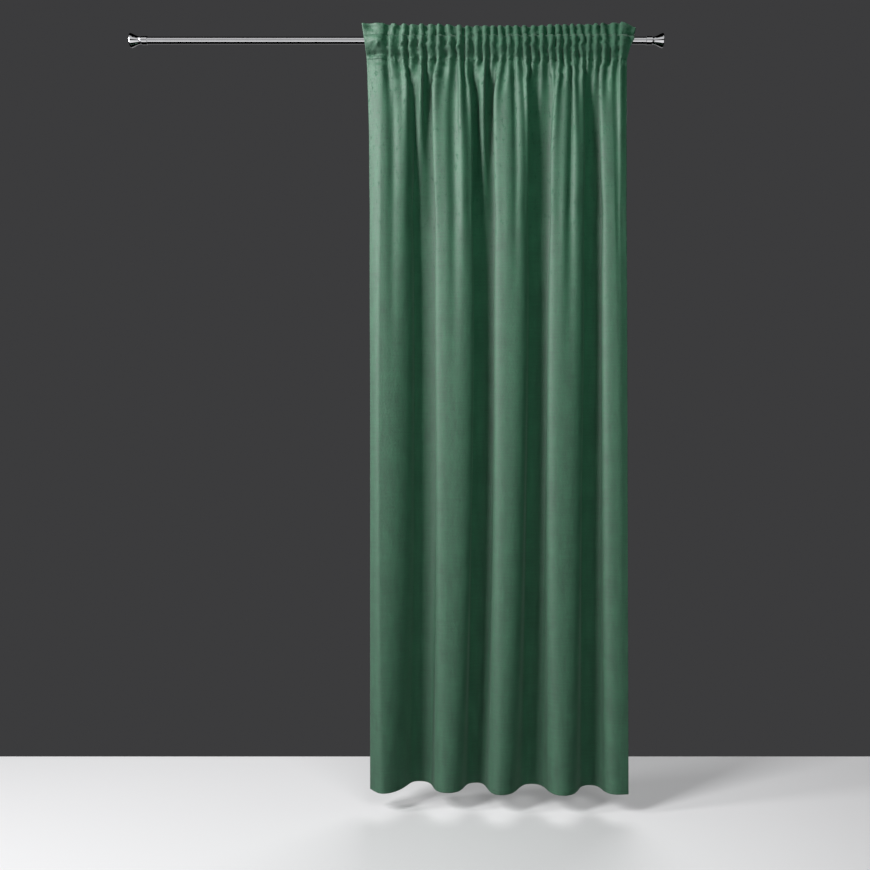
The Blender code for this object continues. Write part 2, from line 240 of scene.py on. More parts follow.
def fold_line(z, strength):
    """Main folds at height z as a fine (x, y) line; strength 0 is a straight line."""
    xs = [soft_curve(z, FOLD_HEIGHTS, places) * MM for _, places, _, _, _ in FOLDS]
    ys = [soft_curve(z, FOLD_HEIGHTS, depths) * MM * strength for _, _, depths, _, _ in FOLDS]
    xs[0], xs[-1] = side_edges(z)
    shape = (1.0 - (1.0 - HEM_SHAPE) * (z / HEM_Z) ** 2) * min(1.0, strength) ** 0.5
    t = np.arange(FLANK_STEPS) / FLANK_STEPS
    line_x, line_y = [], []
    for row, (_, _, _, roundness, push) in enumerate(FOLDS[:-1]):
        run = xs[row + 1] - xs[row]
        rise = ys[row + 1] - ys[row]
        pushed = push * MM * np.sin(np.pi * t) ** 2
        line_x.append(xs[row] + run * t + shape * (run * roundness * np.sin(2 * np.pi * t) + pushed))
        flat_topped = t**3 * (10 - 15 * t + 6 * t**2)
        round_topped = (1 - np.cos(np.pi * t)) / 2
        if row == 0:
            flat_topped = round_topped = np.sin(np.pi * t / 2)
        if row == len(FOLDS) - 2:
            flat_topped = round_topped = 1 - np.cos(np.pi * t / 2)
        line_y.append(ys[row] + rise * (shape * flat_topped + (1 - shape) * round_topped))
    line_x.append([xs[-1]])
    line_y.append([ys[-1]])
    return np.column_stack((np.concatenate(line_x), np.concatenate(line_y)))


def along(line):
    """Distance of each point from the start of a line."""
    return np.concatenate(([0.0], np.cumsum(np.linalg.norm(np.diff(line, axis=0), axis=1))))


def picked(places, distance, values):
    """The rows of values at some places along a line whose points lie at distance."""
    return np.column_stack([np.interp(places, distance, column) for column in values.T])


def backwards_of(points):
    """Unit directions to the back of a row of (x, y) points."""
    slope = np.gradient(points, axis=0)
    slope /= np.linalg.norm(slope, axis=1)[:, None]
    return np.column_stack((-slope[:, 1], slope[:, 0]))


def as_shares(values):
    """Rising values as shares of the way from the first to the last."""
    return (values - values[0]) / (values[-1] - values[0])


def ridge_xs():
    """x of the ridges at the pole."""
    return np.array([pleat[0] for pleat in PLEATS], dtype=float) * MM


def ridge_places():
    """Where the ridges lie on the flat cloth, as shares of its width."""
    return (LEFT_FLAT + as_shares(ridge_xs()) * (CUT_WIDTH - LEFT_FLAT - RIGHT_FLAT)) / CUT_WIDTH


def gather_wave(share, z):
    """Gathers at height z: -1 on a full ridge, +1 in a full gap; ridges drop out below the lower seam."""
    _, _, depth, reach = np.array(PLEATS, dtype=float).T
    ridge = ridge_places()
    steps = np.diff([2 * ridge[0] - ridge[1], *ridge, 2 * ridge[-1] - ridge[-2]])
    full = depth * (steps[:-1] + steps[1:]) / (2 * steps.mean())
    gaps = (full[:-1] + full[1:]) / 2
    below = below_seam(z)
    heights = FALLEN_RIDGE * full - (1.0 + FALLEN_RIDGE) * full * bell(below, reach * MM)
    places, sizes = [0.0], [EDGE_GATHERS[0] * full[0]]
    for row, (near, far) in enumerate(zip(ridge, ridge[1:])):
        places += [near, near + GAP_PLACE * (far - near)]
        sizes += [heights[row], gaps[row]]
    places = np.array([*places, ridge[-1], 1.0])
    sizes = np.array([*sizes, heights[-1], EDGE_GATHERS[1] * full[-1]])
    cells = np.arange(len(sizes)) * RUMPLE_STRIDE + RUMPLE_START
    uneven = smooth_noise(cells, z / RUMPLE_HEIGHT, SEEDS["rumple"])
    sizes = sizes * (1.0 + RUMPLE * fading(below, RUMPLE_REACH) * uneven)
    cell = np.clip(np.searchsorted(places, share, side="right") - 1, 0, len(places) - 2)
    t = (share - places[cell]) / (places[cell + 1] - places[cell])
    wave = sizes[cell] + (sizes[cell + 1] - sizes[cell]) * (1 - np.cos(np.pi * t)) / 2
    return wave * bell(below, LAST_GATHERS)


def soft_folds(share, z):
    """Shallow troughs and ridges between the gathers and the main folds, in metres."""
    below = below_seam(z)
    started = min(1.0, below / SOFT_START)
    relief = np.zeros_like(share)
    for start, lower, depth, width, fade in SOFT_FOLDS:
        place = start + (lower - start) * min(1.0, below / DRIFT_DROP)
        faded = min(1.0, below / (fade * MM))
        strength = depth * MM * started * (1.0 - faded) ** 2 * (1.0 + 2.0 * faded)
        relief += strength * bell(share - place, width)
    return relief


def fold_threads():
    """Which threads of the flat cloth hang along the crests of the main folds, as shares of its width."""
    left, right = side_edges(LOWER_SEAM_Z)
    crests = np.array([places[0] for _, places, _, _, _ in FOLDS[1:-1]]) * MM
    inner = np.interp(crests, [left, *ridge_xs(), right], [0.0, *ridge_places(), 1.0])
    return np.array([0.0, *inner, 1.0])


def pinned_places(z):
    """x of both edges and of the ridges at height z of the heading, left to right."""
    left, right = side_edges(max(z, LOWER_SEAM_Z))
    ridge, lean = np.array([pleat[:2] for pleat in PLEATS], dtype=float).T * MM
    ridge = ridge + lean * max(0.0, z / RUFFLE_TOP_Z)
    draws = np.random.default_rng(SEEDS["sways"])
    for height, scatter, reach, low, high in SWAYS:
        sway = draws.uniform(low, high, len(ridge)) * MM
        heights = height + draws.uniform(-scatter, scatter, len(ridge))
        ridge = ridge + sway * bell(z - heights, reach)
    return np.array([left, *ridge, right])


def hung_places(every, relief, z, distance):
    """Where the threads of the flat cloth hang along the line of the main folds at height z, both as
    shares. Steep parts of a gather take less of the line's length, as the cloth doesn't stretch. The
    heading holds the ridges, and the main folds take over below it."""
    steepness = np.gradient(relief, every) / CUT_WIDTH
    free = as_shares(np.cumsum(np.sqrt(np.maximum(LEAST_SPAN, 1.0 - steepness**2))))
    ridges = np.interp([0.0, *ridge_places(), 1.0], every, free)
    in_heading = np.interp(free, ridges, as_shares(pinned_places(z)))
    crests = np.interp(fold_threads(), every, free)
    in_drop = np.interp(free, crests, distance[::FLANK_STEPS] / distance[-1])
    return in_drop + (in_heading - in_drop) * fading(below_seam(z), PINNED)


def shaped_row(z, strength, gather_depth, share=None, detail=0.0):
    """Points (x, y) of the cloth at height z: main folds opened by strength, with gathers on them of
    gather_depth, at the given shares of the cloth's width and with the detail added there."""
    line = fold_line(z, strength)
    distance = along(line)
    every = np.linspace(0.0, 1.0, SAMPLES)
    relief = gather_depth * gather_wave(every, z) + soft_folds(every, z)
    place = hung_places(every, relief, z, distance)
    if share is not None:
        place = np.interp(share, every, place)
        relief = np.interp(share, every, relief) + detail
    place = place * distance[-1]
    return picked(place, distance, line) + picked(place, distance, backwards_of(line)) * relief[:, None]


def solved(length_at, high):
    """The value from 0 to high at which length_at reaches the cut width."""
    low = 0.0
    for _ in range(HALVINGS):
        middle = (low + high) / 2
        if length_at(middle) < CUT_WIDTH:
            low = middle
        else:
            high = middle
    return (low + high) / 2


@functools.lru_cache(maxsize=None)
def row_shape(z):
    """How far the main folds have opened at height z, and the depth that is left to the gathers."""
    strength = 0.0
    if z < LOWER_SEAM_Z:
        full = solved(lambda value: along(shaped_row(z, value, 0.0))[-1], MOST_STRENGTH)
        strength = full * (1.0 - fading(below_seam(z), OPENING))
    return strength, solved(lambda depth: along(shaped_row(z, strength, depth))[-1], MOST_GATHERS)


def cloth_row(z, share, detail):
    """Points (x, y) of the cloth at height z."""
    strength, depth = row_shape(z)
    return shaped_row(z, strength, depth, share, detail)


def pocket_bulge(z):
    """How far each layer of the pocket stands off its middle at height z."""
    widest = POLE_RADIUS + POLE_CLEARANCE + CLOTH / 2 + HEADING_EASE
    if z >= 0.0:
        return widest * max(0.0, 1.0 - (z / UPPER_SEAM_Z) ** 2) ** SHOULDER_FULLNESS
    return widest * (1.0 + math.cos(math.pi * min(1.0, z / LOWER_SEAM_Z) ** BULGE_FULLNESS)) / 2


# ---------------------------------------------------------------- creases and puckers

GROOVE_DEPTH = 0.0003
GROOVE_WIDTH = 0.0025
PUCKER_DEPTH = 0.0030
PUCKER_SIZE = (0.009, 0.04)  # across and up
PUCKER_REACH = 0.012
CALM_EDGE = (0.03, 0.02, 0.2)  # share of the width where puckers grow, over how much, from what strength
HOOK_DEPTH = (0.0009, 0.0090)  # least and most, as in the next four pairs
HOOK_PLACE = (0.005, 0.011)  # left of the ridge, as a share of the width
HOOK_Z = (-0.037, -0.017)
HOOK_WIDTH = (0.004, 0.007)  # as a share of the width
HOOK_LEAN = (-0.3, 0.6)
HOOK_REACH = 0.006  # up and down
CRUMPLE_DEPTH = 0.0017
CRUMPLE_SIZE = (0.011, 0.010)  # across and up
CRUMPLE_REACH = 0.012
FINE_CRUMPLES = (0.5, 2.3, 2.1)  # strength against the others, and how many times finer across and up
SWELL_DEPTH = 0.0012
SWELL_GROWTH = 0.3  # distance from the lower seam over which the swells grow
SWELL_SIZE = (18, 0.9)  # cells in the width, and height of each

# Hollows (+) and bulges (-) of the heading: (share of the width, height, half-width as a share,
# half-height, depth mm)
PATCHES = (
    (0.000, 0.046, 0.012, 0.016, -9.0),
    (0.018, 0.042, 0.014, 0.007, 8.0),
    (0.032, -0.010, 0.020, 0.016, -9.0),
    (0.026, -0.050, 0.024, 0.007, 9.0),
    (0.010, -0.062, 0.022, 0.004, -2.0),
    (0.035, 0.050, 0.006, 0.010, -3.0),
    (0.092, 0.050, 0.006, 0.006, -3.5),
    (0.374, 0.047, 0.006, 0.007, -4.0),
    (0.711, 0.048, 0.006, 0.007, -4.0),
    (0.820, 0.050, 0.006, 0.006, -3.5),
    (0.905, 0.052, 0.006, 0.006, -3.5),
    (1.000, 0.010, 0.018, 0.050, 13.0),
)
PATCHES_END_Z = LOWER_SEAM_Z - 0.03


def seam_creases(share, z):
    """The groove of each seam, and the small creases that it draws across the gathers."""
    start, growth, least = CALM_EDGE
    pitch, height = PUCKER_SIZE
    relief = np.zeros_like(share)
    for name, seam in (("upper seam", UPPER_SEAM_Z), ("lower seam", LOWER_SEAM_Z)):
        relief += GROOVE_DEPTH * bell(z - seam, GROOVE_WIDTH)
        near = fading(abs(z - seam), PUCKER_REACH) * np.clip((share - start) / growth, least, 1.0)
        relief += PUCKER_DEPTH * near * smooth_noise(share * CUT_WIDTH / pitch, z / height, SEEDS[name])
    return relief


def hooks(share, z):
    """Where the pocket's spare cloth bunches up on the left of each gather."""
    draws = np.random.default_rng(SEEDS["hooks"])
    relief = np.zeros_like(share)
    for ridge in ridge_places():
        centre = ridge - draws.uniform(*HOOK_PLACE)
        height = draws.uniform(*HOOK_Z)
        depth = draws.uniform(*HOOK_DEPTH)
        wide = draws.uniform(*HOOK_WIDTH)
        lean = (z - height) * draws.uniform(*HOOK_LEAN)
        relief -= depth * bell(share - centre - lean, wide) * bell(z - height, HOOK_REACH)
    return relief


def crumples(share, z):
    """Small soft dents all over the heading, fading below its lower seam."""
    wide, high = CRUMPLE_SIZE
    strength, finer_across, finer_up = FINE_CRUMPLES
    across, up = share * CUT_WIDTH / wide, z / high
    relief = smooth_noise(across, up, SEEDS["crumples"])
    relief += strength * smooth_noise(across * finer_across, up * finer_up, SEEDS["fine crumples"])
    return CRUMPLE_DEPTH * fading(below_seam(z), CRUMPLE_REACH) * relief


def patches(share, z):
    """Hollows and bulges placed one by one."""
    relief = np.zeros_like(share)
    for place, height, wide, high, depth in PATCHES:
        relief += depth * MM * bell(share - place, wide) * bell(z - height, high)
    return relief


def swells(share, z):
    """Wide soft dents of the drop."""
    cells, height = SWELL_SIZE
    strength = SWELL_DEPTH * min(1.0, abs(z - LOWER_SEAM_Z) / SWELL_GROWTH)
    return strength * smooth_noise(share * cells, z / height, SEEDS["swell"])


def creases(share, z):
    """All fine relief of the cloth, towards its back, in metres."""
    relief = seam_creases(share, z) + crumples(share, z)
    if z > PATCHES_END_Z:
        relief = relief + patches(share, z)
    if LOWER_SEAM_Z < z < UPPER_SEAM_Z:
        relief = relief + hooks(share, z)
    return relief + swells(share, z)


# ---------------------------------------------------------------- the sheet

FLAP_END_Z = LOWER_SEAM_Z - 0.007  # where the turned-over top ends behind
HEM_TURN = 0.080  # cloth turned up behind the hem
HEM_GAP = 0.0020  # between the hem's two layers
SIDE_TURN = (0.0006, 0.004, 0.014, 0.028)  # how far in the points of each turned-back side edge lie
SIDE_TURN_STAND = 0.8  # how far it stands off, in thicknesses of the cloth
SIDE_TURN_START = 0.5  # share of that which it has at the edge
UPPER_DROP_END_Z = -0.300
UPPER_DROP_LEAN = 1.5  # packs the rows of the upper drop close below the seam
HEM_TOP_Z = HEM_Z + 0.040  # where the finer rows of the hem start
STEPS = {  # of the sheet along its length
    "back of pocket": 14,
    "back of ruffle": 7,
    "quarter of top edge": 2,
    "front of ruffle": 13,
    "front of pocket": 28,
    "upper drop": 34,
    "lower drop": 100,
    "hem": 10,
    "edge of hem": 4,
    "turned-up hem": 6,
}


def steps_of(part, start, end, lean=1.0):
    """Values from start to end for the steps of a part; over 1, lean packs them close to the start."""
    return start + (end - start) * np.linspace(0.0, 1.0, STEPS[part] + 1) ** lean


def layer_row(z, share, stand):
    """A row of (x, y) points at height z that stands off the middle of the cloth, + to the back."""
    points = cloth_row(z, share, creases(share, z))
    return points + backwards_of(points) * stand


def with_heights(points, heights):
    """A row of (x, y, z) points from (x, y) ones."""
    return np.column_stack((points, np.broadcast_to(heights, len(points))))


def level_row(z, share, stand):
    """A row of points at the even height z that stands off the middle of the cloth, + to the back."""
    return with_heights(layer_row(z, share, stand), z)


def ruffle_row(part, share, side):
    """One layer of the ruffle: part 0 is the upper seam and 1 the top edge."""
    heights = UPPER_SEAM_Z + part * (top_edge(share) - LAYER_GAP - UPPER_SEAM_Z)
    stand = side * (CLOTH / 2 + (LAYER_GAP - CLOTH / 2) * min(1.0, part / RUFFLE_PARTING))
    shaping_z = UPPER_SEAM_Z + part * (RUFFLE_TOP_Z - UPPER_SEAM_Z)
    return with_heights(layer_row(shaping_z, share, stand), heights)


def top_edge_row(turn, share):
    """A row round the ruffle's top edge; turn runs from 0 behind to pi in front."""
    heights = top_edge(share) - LAYER_GAP + LAYER_GAP * math.sin(turn)
    return with_heights(layer_row(RUFFLE_TOP_Z, share, LAYER_GAP * math.cos(turn)), heights)


def pocket_row(z, share, side):
    """One layer of the pocket at height z, kept off the pole."""
    points = layer_row(z, share, side * CLOTH / 2)
    points[:, 1] += side * pocket_bulge(z)
    nearest = POLE_RADIUS + POLE_CLEARANCE
    if abs(z) < nearest:
        stand_off = math.sqrt(nearest**2 - z**2)
        points[:, 1] = side * np.maximum(side * points[:, 1], stand_off)
    return with_heights(points, z)


def hem_edge_row(turn, share):
    """A row round the hem's edge; turn runs from 0 in front to pi behind."""
    radius = HEM_GAP / 2
    points = layer_row(HEM_Z, share, radius - radius * math.cos(turn))
    return with_heights(points, HEM_Z + radius - radius * math.sin(turn))


def sheet_rows(share):
    """Every row of the sheet, from the end of the turned-over top, over the ruffle, down to the hem's
    edge and up behind it. Each comes with the side of the cloth's wrong face: -1 to the room, +1 back."""
    top, edge_z = math.pi / 2, HEM_Z + HEM_GAP / 2
    drop = [
        *steps_of("upper drop", LOWER_SEAM_Z, UPPER_DROP_END_Z, UPPER_DROP_LEAN)[1:],
        *steps_of("lower drop", UPPER_DROP_END_Z, HEM_TOP_Z)[1:],
        *steps_of("hem", HEM_TOP_Z, edge_z)[1:],
    ]
    behind = [level_row(FLAP_END_Z, share, CLOTH)]
    behind += [pocket_row(z, share, 1) for z in steps_of("back of pocket", LOWER_SEAM_Z, UPPER_SEAM_Z)]
    behind += [ruffle_row(part, share, 1) for part in steps_of("back of ruffle", 0.0, 1.0)[1:-1]]
    behind += [top_edge_row(turn, share) for turn in steps_of("quarter of top edge", 0.0, top)[:-1]]
    front = [top_edge_row(turn, share) for turn in steps_of("quarter of top edge", top, math.pi)]
    front += [ruffle_row(part, share, -1) for part in steps_of("front of ruffle", 1.0, 0.0)[1:-1]]
    front += [pocket_row(z, share, -1) for z in steps_of("front of pocket", UPPER_SEAM_Z, LOWER_SEAM_Z)]
    front += [level_row(z, share, 0.0) for z in drop]
    front += [hem_edge_row(turn, share) for turn in steps_of("edge of hem", 0.0, math.pi)[1:]]
    hem = [level_row(z, share, HEM_GAP) for z in steps_of("turned-up hem", edge_z, HEM_Z + HEM_TURN)[1:]]
    return [(row, -1) for row in behind] + [(row, 1) for row in front] + [(row, -1) for row in hem]


def with_side_turns(points, wrong_side):
    """Adds the cloth turned back along both side edges to a row."""
    distance = along(points)
    backwards = backwards_of(points[:, :2]) * wrong_side
    reach = np.array(SIDE_TURN)
    stand = np.minimum(1.0, reach / SIDE_TURN[1] + SIDE_TURN_START) * CLOTH * SIDE_TURN_STAND
    strips = []
    for places in (reach, distance[-1] - reach):
        strip = picked(places, distance, points)
        strip[:, :2] += picked(places, distance, backwards) * stand[:, None]
        strips.append(strip)
    left, right = strips
    return np.vstack((left[::-1], points, right))


def in_scene(name, data):
    """A new object that is linked to the scene."""
    made = bpy.data.objects.new(name, data)
    bpy.context.scene.collection.objects.link(made)
    return made


def grid_mesh(name, grid, places):
    """A sheet from a grid of points, with places (across, along the cloth, metres) as its UV map."""
    rows, columns = grid.shape[:2]
    index = np.arange(rows * columns).reshape(rows, columns)
    corners = (index[:-1, :-1], index[1:, :-1], index[1:, 1:], index[:-1, 1:])
    faces = np.stack(corners, axis=-1).reshape(-1, 4)
    mesh = bpy.data.meshes.new(name)
    mesh.from_pydata(grid.reshape(-1, 3).tolist(), [], faces.tolist())
    layer = mesh.uv_layers.new(name="cloth")
    layer.uv.foreach_set("vector", places.reshape(-1, 2)[faces.ravel()].astype(np.float32).ravel())
    mesh.shade_smooth()
    mesh.update()
    return in_scene(name, mesh)


def build_sheet():
    share = np.linspace(0.0, 1.0, COLUMNS + 1)
    grid = np.array([with_side_turns(points, wrong_side) for points, wrong_side in sheet_rows(share)])
    turns = np.array(SIDE_TURN)
    across = np.concatenate((-turns[::-1], share * CUT_WIDTH, CUT_WIDTH + turns))
    down = -along(grid[:, grid.shape[1] // 2])
    places = np.stack(np.broadcast_arrays(across[None, :], down[:, None]), axis=-1)
    return grid_mesh("velvet_sheet", grid, places)


# ---------------------------------------------------------------- stitches

STITCH_LENGTH = 0.0030
STITCH_PITCH = 0.0038
STITCH_RADIUS = 0.00028
STITCH_SIDES = 5
STITCH_SINK = 0.0002  # how deep the middle of a stitch lies in the pile
STITCH_INSET = 0.006  # from the side edge to the first stitch
HEM_STITCH_Z = HEM_Z + 0.012
# Rings of a stitch, whose ends stand out of the pile: (share of its length, how far out it lies against
# STITCH_SINK, share of its radius)
STITCH_RINGS = (
    (0.0, 1.5, 0.5),
    (0.2, -1.0, 1.0),
    (0.8, -1.0, 1.0),
    (1.0, 1.5, 0.5),
)


def stitch_line(points, outward):
    """Stitches end to end along a line of points, each a small spindle."""
    distance = along(points)
    ring_places, ring_stands, ring_sizes = np.array(STITCH_RINGS).T
    verts, faces = [], []
    for start in np.arange(STITCH_INSET, distance[-1] - STITCH_INSET, STITCH_PITCH):
        places = start + STITCH_LENGTH * ring_places
        out = picked(places[1:2], distance, outward)[0]
        centre = picked(places, distance, points) + out * (STITCH_SINK * ring_stands)[:, None]
        forward = centre[2] - centre[1]
        forward /= np.linalg.norm(forward)
        side = np.cross(forward, out)
        first = len(verts)
        for point, radius in zip(centre, STITCH_RADIUS * ring_sizes):
            for step in range(STITCH_SIDES):
                angle = 2 * math.pi * step / STITCH_SIDES
                verts.append(point + radius * (math.cos(angle) * side + math.sin(angle) * out))
        last = len(verts) - STITCH_SIDES
        for near in range(first, last, STITCH_SIDES):
            far = near + STITCH_SIDES
            for step in range(STITCH_SIDES):
                after = (step + 1) % STITCH_SIDES
                faces.append((near + step, near + after, far + after, far + step))
        faces.append(tuple(first + step for step in reversed(range(STITCH_SIDES))))
        faces.append(tuple(last + step for step in range(STITCH_SIDES)))
    return verts, faces


def build_stitches():
    """Thread of both seams, seen on the front and the back, and of the hem."""
    share = np.linspace(0.0, 1.0, COLUMNS + 1)
    lines = [(pocket_row(z, share, side), side) for side in (-1, 1) for z in (UPPER_SEAM_Z, LOWER_SEAM_Z)]
    lines.append((level_row(HEM_STITCH_Z, share, 0.0), -1))
    lines.append((level_row(HEM_STITCH_Z, share, HEM_GAP), 1))
    verts, faces = [], []
    for points, side in lines:
        outward = np.column_stack((backwards_of(points[:, :2]) * side, np.zeros(len(points))))
        more_verts, more_faces = stitch_line(points, outward)
        faces += [tuple(corner + len(verts) for corner in face) for face in more_faces]
        verts += more_verts
    mesh = bpy.data.meshes.new("stitches")
    mesh.from_pydata([tuple(vert) for vert in verts], [], faces)
    mesh.shade_smooth()
    return in_scene("stitches", mesh)


# ---------------------------------------------------------------- materials

CHROME_PIECES = ("pole", "finial_left", "finial_right")

# Colours are linear red, green and blue, and opaque
VELVET_DARK = (0.004, 0.071, 0.030, 1.0)
VELVET_LIGHT = (0.012, 0.123, 0.054, 1.0)
# the colour that the flecks and the painted shade darken the velvet towards
VELVET_FLECK_AND_SHADE = (0.003, 0.040, 0.018, 1.0)
VELVET_SHEEN = (0.90, 1.00, 0.95, 1.0)
THREAD_COLOUR = (0.005, 0.042, 0.020, 1.0)
CHROME_COLOURS = ((0.60, 0.60, 0.62, 1.0), (0.74, 0.74, 0.76, 1.0))
FLOOR_COLOURS = ((0.78, 0.78, 0.79, 1.0), (0.84, 0.84, 0.85, 1.0))

# Noises: scale, detail, roughness and, for those drawn out, how much finer they are in each direction
VELVET_NOISES = {
    "streaks": (1.0, 4.0, 0.6, (70.0, 9.0, 1.0)),
    "brushed": (1.0, 5.0, 0.65, (16.0, 11.0, 1.0)),
    "mottle": (130.0, 4.0, 0.7),
    "pile": (900.0, 2.0, 0.5, (1.0, 0.7, 1.0)),
    "weave": (1.0, 2.0, 0.5, (16.0, 190.0, 1.0)),
    "ruffled": (1.0, 4.0, 0.7, (64.0, 30.0, 1.0)),
}
THREAD_TWIST = (2500.0, 1.0, 0.5)
CHROME_HAZE = (35.0, 4.0, 0.6)
CHROME_POLISH = (1.0, 2.0, 0.5, (12.0, 900.0, 900.0))
FLOOR_CLOUDS = (1.5, 3.0, 0.5)
MIDDLE_NOISE = (0.3, 0.7)  # between which most values of a noise lie

# Shares of the noises in the velvet's shade and in its roughness, and the shade's darkest and lightest
SHADE_PARTS = (("streaks", 0.30), ("brushed", 0.35), ("mottle", 0.45), ("weave", 0.28))
SHADE_ENDS = (0.57, 0.81)
ROUGH_PARTS = (("pile", 0.5), ("mottle", 0.5))
VELVET_ROUGHNESS = (0.62, 0.86)
# Bumps, one on another: (noise, strength, depth); the thread and the chrome have one each
VELVET_BUMPS = (("mottle", 0.60, 0.0014), ("brushed", 0.25, 0.0040), ("pile", 0.35, 0.0004))
VELVET_GLOSS = {
    "Specular IOR Level": 0.92,
    "IOR": 1.80,
    "Sheen Weight": 0.10,
    "Sheen Roughness": 0.40,
    "Sheen Tint": VELVET_SHEEN,
}

# Flecks and painted shade make the velvet darker and duller: dark flecks, fewer down the drop, and painted
# shade over the heading, more to the right
FLECK_NOISE = (0.57, 0.64)  # none below the first, all above the second, as in the next three pairs
FLECK_HEIGHTS = (-1.1, -0.1)
# painted shade of the heading: the heights and the x over which it grows
PAINTED_SHADE_HEIGHTS = (-0.072, -0.040)
PAINTED_SHADE_ACROSS = (0.00, 0.60)
FLECK_STRENGTH = 0.32
PAINTED_SHADE_STRENGTH = 0.42
# how far the flecks and the painted shade darken the colour and raise the roughness
FLECK_AND_SHADE_DARKENING = 0.7
FLECK_AND_SHADE_ROUGHENING = 0.8

THREAD_ROUGHNESS = 0.80
THREAD_GLOSS = 0.10
THREAD_BUMP = (0.3, 0.0002)
CHROME_PARTS = (0.5, 0.5)  # shares of haze and polish in its roughness
CHROME_ROUGHNESS = (0.03, 0.09)
CHROME_BUMP = (0.01, 0.0002)
FLOOR_ROUGHNESS = 0.45


class Nodes:
    """Short-hand for adding nodes to a material."""

    def __init__(self, name):
        self.material = bpy.data.materials.new(name)
        self.material.use_nodes = True
        self.tree = self.material.node_tree

    def add(self, kind, inputs=(), **settings):
        node = self.tree.nodes.new(kind)
        for key, value in settings.items():
            setattr(node, key, value)
        for key, value in dict(inputs).items():
            self.set(node.inputs[key], value)
        return node

    def set(self, socket, value):
        """Links another node's output to a socket, or sets its value."""
        if isinstance(value, bpy.types.NodeSocket):
            self.tree.links.new(value, socket)
        else:
            socket.default_value = value

    def object_place(self):
        return self.add("ShaderNodeTexCoord").outputs["Object"]

    def noise(self, place, scale, detail, roughness, stretch=None):
        if stretch is not None:
            place = self.add("ShaderNodeMapping", {"Vector": place, "Scale": stretch}).outputs["Vector"]
        node = self.add(
            "ShaderNodeTexNoise",
            {"Vector": place, "Scale": scale, "Detail": detail, "Roughness": roughness},
        )
        return node.outputs["Fac"]

    def ramp(self, value, start, end, low=0.0, high=1.0):
        """Runs from low to high while value runs from start to end."""
        node = self.add(
            "ShaderNodeMapRange",
            {"Value": value, "From Min": start, "From Max": end, "To Min": low, "To Max": high},
        )
        return node.outputs["Result"]

    def math(self, operation, a, b):
        node = self.add("ShaderNodeMath", {0: a, 1: b}, operation=operation)
        return node.outputs[0]

    def weighted(self, parts):
        """The sum of (value, weight) pairs."""
        total = None
        for value, weight in parts:
            part = self.math("MULTIPLY", value, weight)
            total = part if total is None else self.math("ADD", total, part)
        return total

    def mixed(self, factor, a, b):
        node = self.add("ShaderNodeMix", data_type="RGBA")
        self.set(node.inputs["Factor"], factor)
        self.set(node.inputs[6], a)
        self.set(node.inputs[7], b)
        return node.outputs[2]

    def bump(self, height, strength, distance, normal=None):
        node = self.add(
            "ShaderNodeBump", {"Height": height, "Strength": strength, "Distance": distance}
        )
        if normal is not None:
            self.set(node.inputs["Normal"], normal)
        return node.outputs["Normal"]

    def shaded(self, inputs):
        """The material, with the inputs of its shader set."""
        shader = self.tree.nodes["Principled BSDF"]
        for key, value in inputs.items():
            self.set(shader.inputs[key], value)
        return self.material


def flecks_and_painted_shade(nodes, ruffled):
    """How much the velvet is darkened and dulled by dark flecks and by painted shade on the heading: 0 is
    none.
    """
    where = nodes.add("ShaderNodeSeparateXYZ", {"Vector": nodes.object_place()}).outputs
    flecks = nodes.ramp(ruffled, *FLECK_NOISE, high=FLECK_STRENGTH)
    flecks = nodes.math("MULTIPLY", flecks, nodes.ramp(where["Z"], *FLECK_HEIGHTS))
    # painted shade over the heading, fading out just below its lower seam and growing towards the right
    painted_shade = nodes.math(
        "MULTIPLY",
        nodes.ramp(where["Z"], *PAINTED_SHADE_HEIGHTS),
        nodes.ramp(where["X"], *PAINTED_SHADE_ACROSS, high=PAINTED_SHADE_STRENGTH),
    )
    return nodes.math("MAXIMUM", flecks, painted_shade)


def velvet_material():
    nodes = Nodes("velvet")
    place = nodes.add("ShaderNodeUVMap", uv_map="cloth").outputs["UV"]
    noise = {name: nodes.noise(place, *settings) for name, settings in VELVET_NOISES.items()}
    flecks_and_shade = flecks_and_painted_shade(nodes, noise["ruffled"])
    shade = nodes.weighted([(noise[name], weight) for name, weight in SHADE_PARTS])
    colour = nodes.mixed(nodes.ramp(shade, *SHADE_ENDS), VELVET_DARK, VELVET_LIGHT)
    # darkens the colour towards the fleck colour with the flecks and the painted shade
    colour = nodes.mixed(nodes.math("MULTIPLY", flecks_and_shade, FLECK_AND_SHADE_DARKENING), colour, VELVET_FLECK_AND_SHADE)
    rough = nodes.weighted([(noise[name], weight) for name, weight in ROUGH_PARTS])
    rough = nodes.ramp(rough, *MIDDLE_NOISE, *VELVET_ROUGHNESS)
    rough = nodes.math("ADD", rough, nodes.math("MULTIPLY", flecks_and_shade, FLECK_AND_SHADE_ROUGHENING))
    normal = None
    for name, strength, depth in VELVET_BUMPS:
        normal = nodes.bump(noise[name], strength, depth, normal)
    rough = nodes.math("MINIMUM", rough, 1.0)
    return nodes.shaded({"Base Color": colour, "Roughness": rough, "Normal": normal, **VELVET_GLOSS})


def thread_material():
    nodes = Nodes("thread")
    twist = nodes.noise(nodes.object_place(), *THREAD_TWIST)
    return nodes.shaded(
        {
            "Base Color": nodes.mixed(twist, VELVET_DARK, THREAD_COLOUR),
            "Roughness": THREAD_ROUGHNESS,
            "Specular IOR Level": THREAD_GLOSS,
            "Normal": nodes.bump(twist, *THREAD_BUMP),
        }
    )


